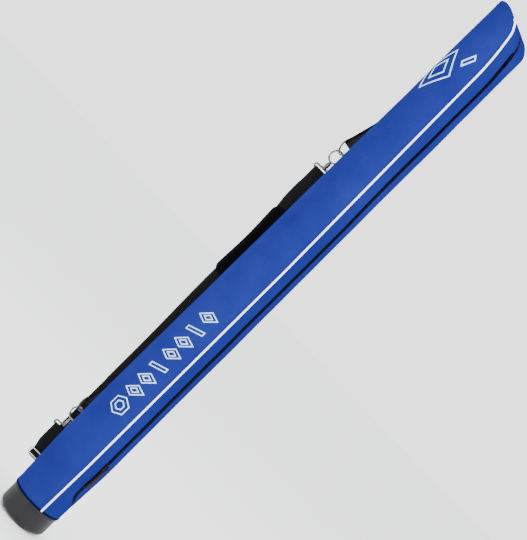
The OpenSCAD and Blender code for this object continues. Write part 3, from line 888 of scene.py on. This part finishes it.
FOOT_H, CUP_EDGE_R, CUP_R, CUP_T = 3.5, 12.0, 57.5, 2.4
cup_in, cup_low = CUP_R - CUP_EDGE_R, FOOT_H + CUP_EDGE_R
cup_profile = [(0.3, FOOT_H), (cup_in - 14, FOOT_H), (cup_in - 13, FOOT_H + 0.6), (cup_in - 3, FOOT_H + 0.6),
               (cup_in - 2, FOOT_H)]
cup_profile += [(cup_in + CUP_EDGE_R * math.sin(a), cup_low - CUP_EDGE_R * math.cos(a))
                for a in steps(0, math.pi / 2, 12)]
cup_profile += [(CUP_R, z) for z in steps(17, 47.5, 10)]
cup_profile += [(CUP_R + 0.5, 48.2), (CUP_R + 0.7, 49.6), (CUP_R + 0.5, 51), (CUP_R, 51.8), (CUP_R, CUP_H),
                (CUP_R - 2.2, CUP_H + 0.2), (CUP_R - CUP_T, CUP_H - 7), (CUP_R - CUP_T, cup_low)]
inner_r = CUP_EDGE_R - CUP_T
cup_profile += [(cup_in + inner_r * math.cos(a), cup_low - inner_r * math.sin(a)) for a in steps(0, math.pi / 2, 8)]
cup_profile += [(0.3, FOOT_H + CUP_T)]


def cup_ribs(r, z):
    """Fine draw lines on the straight of the cup's wall."""
    return 0.22 * smooth(z, 18, 24) * smooth(-z, -47, -42) if r > CUP_R - 1 else 0


cup_shell = turned("cup_shell", Vector(), UP, cup_profile, 240, cup_ribs)
finish_piece(cup_shell, "cup", "cup_plastic", body="root", replaces=("base_cup",))
feet = []
for i, (ring, phi, r) in enumerate([(0, 0, 13.0)] + [(36, phi, 10.0) for phi in (51, 141, 231, 321)]):
    profile = [(0.1, 0), (r - 2, 0), (r - 0.8, 0.35), (r - 0.15, 1.2), (r, FOOT_H - 0.05), (0.1, FOOT_H - 0.05)]
    feet.append(turned("foot_%d" % i, around(ring, phi, 0), UP, profile, 48))
finish_piece(joined("cup_feet", feet), "foot", "foot_rubber", body="root", replaces=("base_feet",))

# ---------------------------------------------------------------- strap
E_U = Vector((math.cos(math.radians(STRAP_DEG)), math.sin(math.radians(STRAP_DEG)), 0))
E_V = Vector((-E_U.y, E_U.x, 0))
HANG = (HANG_U * E_U + HANG_V * E_V) * MM
EYE_Z = RING_Z - LOOP_DROP - EYE_DROP - 2 * EYE_BEND
LOW_EYE_Z = EYE_Z - RING_DROP
WEB_END = 44.0
SPLIT_Z = 320.0
FOLD_R = WIRE_R + 0.3 + WEB_T / 2            # middle of webbing folded round a wire
LOOP_W, TAB_W = 36.0, 34.0
TAB_FREE, TAB_SEWN = 96.0, 44.0              # the tab's sewn part starts this far above the ring, and is this long
UPPER_BLEND = ("root", "upper_link", (0, 0, 0.33), (0, 0, 0.63))
LOWER_BLEND = ("root", "lower_link", (0, 0, 0.31), (0, 0, 0.125))


def strap_point(u, v, z):
    return (u * E_U + v * E_V) * MM + Vector((0, 0, z * MM))


def strap_length(name, stations, width, per):
    points = smooth_path([strap_point(*s) for s in stations], per)
    return band_along(name, points, E_U, width * MM, WEB_T * MM)


upper_stations = [(HANG_U, HANG_V, EYE_Z - WEB_END), (HANG_U, HANG_V + 3.5, 880), (HANG_U + 0.5, BACK_V - 1, 858),
                  (PAD_U - 3, BACK_V, 836), (PAD_U - 0.5, BACK_V, 808), (PAD_U, BACK_V, 740), (PAD_U, BACK_V, 640),
                  (PAD_U + 0.4, BACK_V + 0.3, 580), (TURN_U - 1, BACK_V + 1.5, 500), (TURN_U, BACK_V + 4, 430),
                  (TURN_U, BACK_V + 10, 370), (TURN_U, CLEAR_V - 1.2, SPLIT_Z)]
finish_piece(strap_length("strap_long", upper_stations, WEB_W, 12), "webbing", "webbing", blend=UPPER_BLEND,
             replaces=("strap_upper", "strap_lower"))
turn_r = (CLEAR_V - FRONT_V) / 2
lower_stations = [(TURN_U, CLEAR_V - 1.2, SPLIT_Z), (TURN_U, CLEAR_V, 280), (TURN_U, CLEAR_V, 200),
                  (TURN_U, CLEAR_V, 130)]
lower_stations += [(TURN_U - 3 * a / 180, FRONT_V + turn_r + turn_r * math.cos(math.radians(a)),
                    TURN_Z + turn_r - turn_r * math.sin(math.radians(a))) for a in (0, 30, 60, 90, 120, 150, 180)]
lower_stations += [(HANG_U + 4, FRONT_V + 0.6, TURN_Z + turn_r + 14),
                   (HANG_U + 0.6, HANG_V + 1.1, LOW_EYE_Z - WEB_END - 3), (HANG_U, HANG_V + 0.6, LOW_EYE_Z - WEB_END)]
finish_piece(strap_length("strap_turn_web", lower_stations, WEB_W - 1.5, 9), "webbing", "webbing", blend=LOWER_BLEND,
             replaces=("strap_turn",))


def sewn_box(name, half, z0, z1, place, stitch, second=(3, 1)):
    """A sewn box with a cross through it; place gives the point and the outward direction at (side, height)."""
    corners = [(-half, z0), (half, z0), (half, z1), (-half, z1)]
    parts = []
    for i, j in ((0, 1), (1, 2), (2, 3), (3, 0), (0, 2), second):
        a, b = corners[i], corners[j]
        spots = [place(a[0] + (b[0] - a[0]) * k / 12, a[1] + (b[1] - a[1]) * k / 12) for k in range(13)]
        parts.append(stitches(name + "_line", [p for p, _ in spots], [up for _, up in spots], *stitch))
    return joined(name, parts)


def web_loop(name, eye_z, body, node):
    """Webbing folded round the eye's bar and sewn flat to itself."""
    low, high = eye_z - WEB_END, eye_z - FOLD_R - 4
    path = [strap_point(HANG_U, HANG_V - WEB_T * 0.52, z) for z in steps(low, high, 8)]
    for a in steps(-60, 240, 14):
        t = math.radians(a)
        path.append(strap_point(HANG_U, HANG_V - FOLD_R * math.cos(t), eye_z + FOLD_R * math.sin(t)))
    path += [strap_point(HANG_U, HANG_V + WEB_T * 0.52, z) for z in steps(high, low, 8)]
    web = band_along(name, path, E_U, LOOP_W * MM, WEB_T * MM)
    finish_piece(web, "webbing", "webbing", body=body, replaces=(node,))
    for side, normal in (("front", -E_V), ("back", E_V)):
        def on_web(x, z, normal=normal):
            return HANG + E_U * (x * MM) + UP * (z * MM) + normal * (WEB_T * 1.08 * MM), normal

        sewn = sewn_box("%s_%s_stitch" % (name, side), 13, low + 4, eye_z - 12, on_web, (2.2, 0.9, 0.4))
        finish_piece(sewn, "thread", "webbing", body=body)


web_loop("upper_web_loop", EYE_Z, "upper_link", "upper_web_end")
web_loop("lower_web_loop", LOW_EYE_Z, "lower_link", "lower_web_end")


def ring_tab(name, ring_z, node):
    """Tab of webbing: sewn to the cover at its top, hanging free below, with the ring in its fold."""
    top = ring_z + TAB_FREE
    side_phi = -90 - math.degrees(math.asin(HANG.y / MM / cover_r(top)))
    stations = [around(cover_r(z) + out, side_phi, z)
                for z, out in ((top + TAB_SEWN, 1.3), (top + TAB_SEWN / 2, 1.3), (top, 1.4))]
    start = stations[-1] / MM
    drop = Vector((HANG.x / MM - 0.6, HANG.y / MM, ring_z + 5)) - start

    def along(s, y, out=0.0):
        return Vector((start.x + drop.x * s ** 1.35 + out, y, start.z + drop.z * s)) * MM

    stations += [along(s, start.y + drop.y * s) for s in (0.2, 0.45, 0.7, 0.9)]
    bend = []
    for a in steps(-40, 220, 12):
        t = math.radians(a)
        bend.append(Vector((HANG.x / MM - FOLD_R * math.cos(t), HANG.y / MM, ring_z - FOLD_R * math.sin(t))) * MM)
    back = [along(s, HANG.y / MM, 2.1) for s in (0.9, 0.75, 0.6)]
    path = smooth_path(stations, 6) + bend + smooth_path(back, 4)
    web = band_along(name, path, Vector((0, -1, 0)), TAB_W * MM, WEB_T * MM)
    curve_to_cover(web, top, ring_z)
    finish_piece(web, "webbing", "webbing", body="root", replaces=(node,))

    def on_tab(x, z):
        phi = side_phi - math.degrees(x / cover_r(z))
        return around(cover_r(z) + 2.15, phi, z), around(1, phi, 0).normalized()

    sewn = sewn_box(name + "_stitch", 13.5, top + 3, top + TAB_SEWN - 3, on_tab, (2.4, 0.9, 0.45), (1, 3))
    finish_piece(sewn, "thread", "webbing", body="root")


def curve_to_cover(obj, top, ring_z):
    """Lets the sewn part of a flat tab follow the round cover, and eases off below it."""
    for v in obj.data.vertices:
        z = v.co.z / MM
        w = smooth(z, ring_z + 45, top)
        if w <= 0:
            continue
        r_flat = -v.co.x / MM
        y = (v.co.y - HANG.y) / MM
        v.co.x = -(r_flat - w * (r_flat - math.sqrt(max(1, r_flat ** 2 - y * y)))) * MM


ring_tab("upper_tab_web", RING_Z, "upper_tab")
ring_tab("lower_tab_web", RING_Z - RING_DROP, "lower_tab")


# ---------------------------------------------------------------- rings, hooks, gates, eyes
def at(x, y, z, ring_z):
    return Vector((HANG.x + x * MM, HANG.y + y * MM, (ring_z + z) * MM))


RING_R, RING_CORNER, RING_SIDE = 20.0, 3.5, 6.5
HOOK_R, GATE_LOW, GATE_END = 15.25, 142, 213            # the hook's loop, and the angles where its gate starts and ends


def d_ring(name, ring_z, body, node):
    """A ring with a straight top bar, two tight corners and a round lower side."""
    corner = [(RING_CORNER * math.sin(a), RING_CORNER * math.cos(a)) for a in steps(0, math.pi / 2, 5)]
    flat = RING_R - RING_CORNER
    pts = [at(0, y, 0, ring_z) for y in steps(-16, 16, 8)]
    pts += [at(0, flat + out, down - RING_CORNER, ring_z) for out, down in corner]
    pts += [at(0, RING_R * math.cos(a), -RING_SIDE - RING_R * math.sin(a), ring_z) for a in steps(0, math.pi, 26)]
    pts += [at(0, -flat - out, down - RING_CORNER, ring_z) for down, out in corner]
    clean = [p for i, p in enumerate(pts) if (p - pts[i - 1]).length > 1e-5]
    finish_piece(tube(name, clean, WIRE_R * MM, 14, True), "dark", "dark_metal", body=body, replaces=(node,))


def on_loop(a, y, ring_z):
    """A point on the hook's loop at an angle in degrees."""
    t = math.radians(a)
    return at(HOOK_R * math.cos(t), y, -LOOP_DROP + HOOK_R * math.sin(t), ring_z)


def snap_hook(prefix, ring_z):
    """A hook with its barrel and knuckle, and a sprung gate that closes it."""
    line = [on_loop(a, 0, ring_z) for a in steps(GATE_END + 4 - 360, GATE_LOW - 4, 60)]
    loop = tube(prefix + "_loop", line, 2.25 * MM, 14)
    barrel = turned(prefix + "_barrel", at(0, 0, -LOOP_DROP - 30, ring_z), UP,
                    [(2.8, 0.6), (3.2, 0.0), (4.9, 0.0), (5.2, 0.5), (5.2, 2.6), (4.6, 3.4), (4.6, 5.2),
                     (5.1, 6.0), (5.1, 8.4), (4.2, 10.0), (3.2, 12.2), (2.6, 14.6), (0.4, 15.4), (0.4, 11.2), (2.8, 10.6)])
    knuckle = turned(prefix + "_knuckle", on_loop(GATE_END + 2, -2.7, ring_z), Vector((0, 1, 0)),
                     [(0.4, 0), (1.5, 0), (1.8, 0.3), (1.8, 5.1), (1.5, 5.4), (0.4, 5.4)], 20)
    whole = joined(prefix + "_snap_hook", [loop, barrel, knuckle])
    finish_piece(whole, "dark", "dark_metal", body=prefix + "_snap", replaces=(prefix + "_hook",))
    line = [on_loop(a, 0, ring_z) for a in steps(GATE_LOW, GATE_END, 18)]
    gate = tube(prefix + "_gate_arm", line, 1.7 * MM, 12)
    thumb = turned(prefix + "_thumb", at(-16.6, 0, -LOOP_DROP + 2.0, ring_z), Vector((-1, 0, 0.1)),
                   [(0.3, 0.0), (1.0, 0.0), (1.3, 1.2), (1.1, 2.0), (0.3, 2.2)], 16)
    arm = joined(prefix + "_snap_gate", [gate, thumb])
    finish_piece(arm, "dark", "dark_metal", body=prefix + "_latch", replaces=(prefix + "_gate",))


def strap_eye(prefix, ring_z):
    """A flat wire eye for the webbing, hung from a turned post by two shoulders."""
    bar = 47 / 2 - WIRE_R - EYE_BEND
    centre = at(0, 0, -LOOP_DROP - EYE_DROP - EYE_BEND, ring_z)

    def rim(x, up):
        return centre + E_U * (x * MM) + UP * (up * MM)

    end = [(bar + EYE_BEND * math.sin(a), EYE_BEND * math.cos(a)) for a in steps(0, math.pi, 12)]
    pts = [rim(x, EYE_BEND) for x in steps(-bar, bar, 10)] + [rim(x, z) for x, z in end[1:]]
    pts += [rim(x, -EYE_BEND) for x in steps(bar, -bar, 10)[1:]] + [rim(-x, -z) for x, z in end[1:-1]]
    frame_wire = tube(prefix + "_wire", pts, WIRE_R * MM, 14, True)
    post = turned(prefix + "_post", at(0, 0, -LOOP_DROP - EYE_DROP, ring_z), UP,
                  [(0.5, -1.0), (3.2, -1.0), (4.2, 0.4), (4.3, 1.8), (4.3, 4.4), (3.6, 5.4), (2.4, 5.6),
                   (2.4, 10.0), (0.5, 10.0)])
    shoulders = []
    for s in (-1, 1):
        line = [at(0, 0, -LOOP_DROP - EYE_DROP + 3.4, ring_z) + E_U * (s * x * MM) - Vector((0, 0, d * MM))
                for x, d in ((2, 0.0), (5, 0.5), (8, 1.8), (11, 3.2))]
        shoulders.append(tube(prefix + "_sh%d" % s, smooth_path(line, 4), 1.3 * MM, 10))
    whole = joined(prefix + "_strap_eye", [frame_wire, post] + shoulders)
    finish_piece(whole, "dark", "dark_metal", body=prefix + "_link", replaces=(prefix + "_eye",))


for prefix, ring_z in (("upper", RING_Z), ("lower", RING_Z - RING_DROP)):
    d_ring(prefix + "_d_ring", ring_z, prefix + "_link", prefix + "_ring")
    snap_hook(prefix, ring_z)
    strap_eye(prefix, ring_z)

# ---------------------------------------------------------------- shoulder pad
def pad_waist(z):
    """How far each side of the pad is drawn in at a height above its lower end."""
    return 2.6 * math.sin(math.pi * clamp(z / PAD_L)) ** 2


def pad_form():
    """A slip-on pad: rounded ends, slightly waisted, with crowned faces and a rim drawn in by its seam."""
    rows, columns, end_r = 76, 18, PAD_CORNER
    verts, faces, uvs, rim = [], [], [], []
    for face in (1, -1):
        for i in range(rows + 1):
            z = PAD_L * i / rows
            near_end = max(0.0, end_r - min(z, PAD_L - z))
            half = PAD_W / 2 - pad_waist(z) - end_r + math.sqrt(max(0.0, end_r ** 2 - near_end ** 2))
            for j in range(columns + 1):
                x = half * (2 * j / columns - 1)
                side = clamp((half - abs(x)) / 9)
                end = clamp(min(z, PAD_L - z) / 9)
                crown = (1 - (1 - side) ** 2.2) * (1 - (1 - end) ** 2.2)
                depth = face * (0.9 + (PAD_T / 2 - 1.5) * crown)
                verts.append(strap_point(PAD_U + x, BACK_V + depth, PAD_Z + z))
                uvs.append((x * MM, z * MM))
                rim.append(j in (0, columns) or i in (0, rows))
    per = (rows + 1) * (columns + 1)
    for f in range(2):
        for i in range(rows):
            for j in range(columns):
                a = f * per + i * (columns + 1) + j
                faces.append((a, a + 1, a + columns + 2, a + columns + 1))
    ring = [j for j in range(columns + 1)] + [i * (columns + 1) + columns for i in range(1, rows + 1)]
    ring += ([rows * (columns + 1) + j for j in range(columns - 1, -1, -1)]
             + [i * (columns + 1) for i in range(rows - 1, 0, -1)])
    for a, b in zip(ring, ring[1:] + ring[:1]):
        faces.append((a, b, b + per, a + per))
    obj = make_object("shoulder_pad", verts, faces, uvs)
    held = obj.vertex_groups.new(name="seam")
    held.add([k for k, on in enumerate(rim) if on], 1.0, "REPLACE")
    return obj


def fill_with_foam(obj):
    """Presses the pad out from its held seam as cloth, then keeps the settled shape."""
    settings = obj.modifiers.new("fill", "CLOTH").settings
    settings.quality = 6
    settings.mass = 0.3
    settings.tension_stiffness = 25
    settings.compression_stiffness = 12
    settings.bending_stiffness = 1.2
    settings.vertex_group_mass = "seam"
    settings.use_pressure = True
    settings.uniform_pressure_force = 1.2
    settings.shrink_min = -0.012
    settings.effector_weights.gravity = 0
    for f in range(1, 15):
        bpy.context.scene.frame_set(f)
    settled = bpy.data.meshes.new_from_object(obj.evaluated_get(bpy.context.evaluated_depsgraph_get()))
    obj.modifiers.clear()
    obj.data = settled
    bpy.context.scene.frame_set(1)


pad = pad_form()
fill_with_foam(pad)
for vertex in pad.data.vertices:
    off = vertex.co.dot(E_V) / MM - BACK_V
    vertex.co -= E_V * ((off - clamp(off, -PAD_T / 2, PAD_T / 2)) * MM)
finish_piece(pad, "pad", "pad_fabric", body="pad", replaces=("strap_pad",))


def pad_edge(inset, v):
    """A line round the pad, an inset inside its edge."""
    outline = rounded_outline(PAD_W - 2 * inset, inset, PAD_L - inset, PAD_CORNER - inset, turns=10)
    return [strap_point(PAD_U + x - math.copysign(pad_waist(z), x), v, PAD_Z + z) for x, z in spread(outline)]


finish_piece(tube("pad_binding", pad_edge(0.4, BACK_V), 1.5 * MM, 10, True), "pad", "pad_fabric", body="pad")
for side_name, sign in (("front", -1), ("back", 1)):
    line = pad_edge(4.2, BACK_V + sign * 3.7)
    row = stitches("pad_stitch_" + side_name, line + line[:1], [E_V * sign] * (len(line) + 1), 2.6, 1.1, 0.4)
    finish_piece(row, "thread", "pad_fabric", body="pad")

# ---------------------------------------------------------------- three-bar slide
GLIDE_U, GLIDE_Z, GLIDE_W, GLIDE_H, GLIDE_CORNER = TURN_U - 5, 106.0, 42.0, 13.0, 2.6
glide_v = FRONT_V - WEB_T / 2 - 2.6
outline = [strap_point(GLIDE_U + x, glide_v, GLIDE_Z + z)
           for x, z in rounded_outline(GLIDE_W, -GLIDE_H / 2, GLIDE_H / 2, GLIDE_CORNER)]
glide_parts = [tube("glide_frame", outline, 1.25 * MM, 12, True)]
for place, radius in ((0.0, 1.3), (GLIDE_H / 2 - 0.1, 1.35), (-GLIDE_H / 2 + 0.1, 1.35)):
    bar = [strap_point(GLIDE_U + x, glide_v, GLIDE_Z + place) for x in steps(-GLIDE_W / 2 + 1.4, GLIDE_W / 2 - 1.4, 6)]
    glide_parts.append(tube("glide_bar", bar, radius * MM, 12))
finish_piece(joined("three_bar_slide", glide_parts), "bright", "bright_metal", body="glide", replaces=("tri_glide",))
weave = [(1.5, -GLIDE_H / 2 - 3), (1.4, -GLIDE_H / 2), (-0.4, -3.2), (-2.1, 0), (-0.4, 3.2), (1.4, GLIDE_H / 2),
         (1.5, GLIDE_H / 2 + 1.5)]
weave_points = smooth_path([strap_point(GLIDE_U, glide_v + v, GLIDE_Z + z) for v, z in weave], 6)
finish_piece(band_along("slide_web", weave_points, E_U, 35 * MM, 1.2 * MM), "webbing", "webbing", body="glide")

# ---------------------------------------------------------------- zip slider and pull
SLIDER_Z, SLIDER_PHI, PULL_OFF, PULL_L, PULL_LEAN = 205.0, 80.6, 7.2, 60.0, 3.4


def on_zip(out, side, up):
    """A point by the slider: out from the cover, sideways round it, and up; the hanging pull leans in to the cloth."""
    phi = math.radians(SLIDER_PHI)
    out -= PULL_LEAN * clamp((-up - 12) / (PULL_L - 12))
    outward, across = Vector((math.sin(phi), -math.cos(phi), 0)), Vector((math.cos(phi), math.sin(phi), 0))
    return (outward * (cover_r(SLIDER_Z) + out) + across * side + UP * (SLIDER_Z + up)) * MM


def slab(name, outline, out0, out1, soft=0.6):
    """A plate with softened edges from an outline of (side, up), between two distances from the cover."""
    cx = sum(p[0] for p in outline) / len(outline)
    cz = sum(p[1] for p in outline) / len(outline)
    mid = (out0 + out1) / 2
    verts, n = [], len(outline)
    for out, inset in ((out0, soft), (out0 + soft, 0), (mid, -0.1), (out1 - soft, 0), (out1, soft)):
        for x, z in outline:
            d = math.hypot(x - cx, z - cz)
            verts.append(on_zip(out, cx + (x - cx) * (d - inset) / d, cz + (z - cz) * (d - inset) / d))
    faces = [(r * n + k, r * n + (k + 1) % n, (r + 1) * n + (k + 1) % n, (r + 1) * n + k)
             for r in range(4) for k in range(n)]
    faces += [tuple(range(n)), tuple(range(5 * n - 1, 4 * n - 1, -1))]
    return make_object(name, verts, faces)


slider_parts = [slab("slider_top", rounded_outline(11, -11, 11, 4.4, 1.2), 1.9, 3.6, 0.5)]
slider_parts.append(slab("slider_post", rounded_outline(3, 3, 9, 1.2), 0.6, 2.4, 0.3))
for s in (-1, 1):
    lug = [on_zip(out, s * 3.4, up) for out, up in
           ((3.2, -2), (5.6, -0.5), (PULL_OFF + 0.9, 2.2), (PULL_OFF + 0.7, 4.4), (5.4, 6.6), (3.2, 8))]
    slider_parts.append(tube("slider_lug", smooth_path(lug, 5), 0.75 * MM, 10))
slider_parts.append(tube("slider_pin", [on_zip(PULL_OFF, x, 3) for x in (-3.6, 0, 3.6)], 0.85 * MM, 14))
finish_piece(joined("slider_body", slider_parts), "slider", "zip_metal", body="slider", replaces=("zip_slider",))

half_link = [(1.9, 4.7), (2.6, 2.5), (2.5, -1.5), (2.2, -6.5), (1.2, -9.0)]
link = [(0, 5.4)] + half_link + [(0, -9.6)] + [(-x, z) for x, z in reversed(half_link)]
link_points = smooth_path([on_zip(PULL_OFF, x, z) for x, z in link + link[:1]], 5)[:-1]
finish_piece(tube("pull_link", link_points, 0.85 * MM, 10, True), "slider", "zip_metal", body="pull")
grip = slab("pull_grip", rounded_outline(PULL_W, 3 - PULL_L, -5.5, 3.6, 0.7), PULL_OFF - 1.25, PULL_OFF + 1.25, 0.7)
finish_piece(grip, "rubber", "pull_rubber", body="pull", replaces=("zip_pull",))
ribs = [tube("pull_rib", [on_zip(PULL_OFF + 1.25, x, z) for x in (-2.6, 0, 2.6)], 0.42 * MM, 8)
        for z in steps(-46, -22, 6)]
finish_piece(joined("pull_ribs", ribs), "rubber", "pull_rubber", body="pull")

# ---------------------------------------------------------------- floor, light and surroundings
floor_mesh = bpy.data.meshes.new("floor")
floor_mesh.from_pydata([(-30, -30, 0), (30, -30, 0), (30, 30, 0), (-30, 30, 0)], [], [(0, 1, 2, 3)])
floor = bpy.data.objects.new("floor", floor_mesh)
bpy.context.scene.collection.objects.link(floor)
ground = Nodes("floor_paint")
ground.shader.inputs["Base Color"].default_value = (0.93, 0.935, 0.94, 1)
ground.shader.inputs["Roughness"].default_value = 0.9
floor_mesh.materials.append(ground.material)


def area_light(name, place, aim, size, power, tint=(1, 1, 1)):
    data = bpy.data.lights.new(name, "AREA")
    data.shape, data.size, data.energy, data.color = "DISK", size, power, tint
    lamp = bpy.data.objects.new(name, data)
    bpy.context.scene.collection.objects.link(lamp)
    lamp.location = place
    lamp.rotation_euler = (Vector(aim) - Vector(place)).to_track_quat("-Z", "Y").to_euler()


middle = Vector((0, 0, 0.72))
area_light("key", middle + BACK * 1.6 + ALONG * 1.7 + Vector((0, 0, 1.0)), middle, 1.3, 62)
area_light("fill", middle + BACK * 2.2 - ALONG * 1.6 + Vector((0, 0, 0.3)), middle, 1.6, 24)
area_light("rim", middle - BACK * 1.5 - ALONG * 1.0 + Vector((0, 0, 1.4)), middle, 1.2, 30)
world = bpy.data.worlds.new("surroundings")
bpy.context.scene.world = world
world.use_nodes = True
world.node_tree.nodes["Background"].inputs["Color"].default_value = (0.97, 0.98, 1.0, 1)
world.node_tree.nodes["Background"].inputs["Strength"].default_value = 2.4
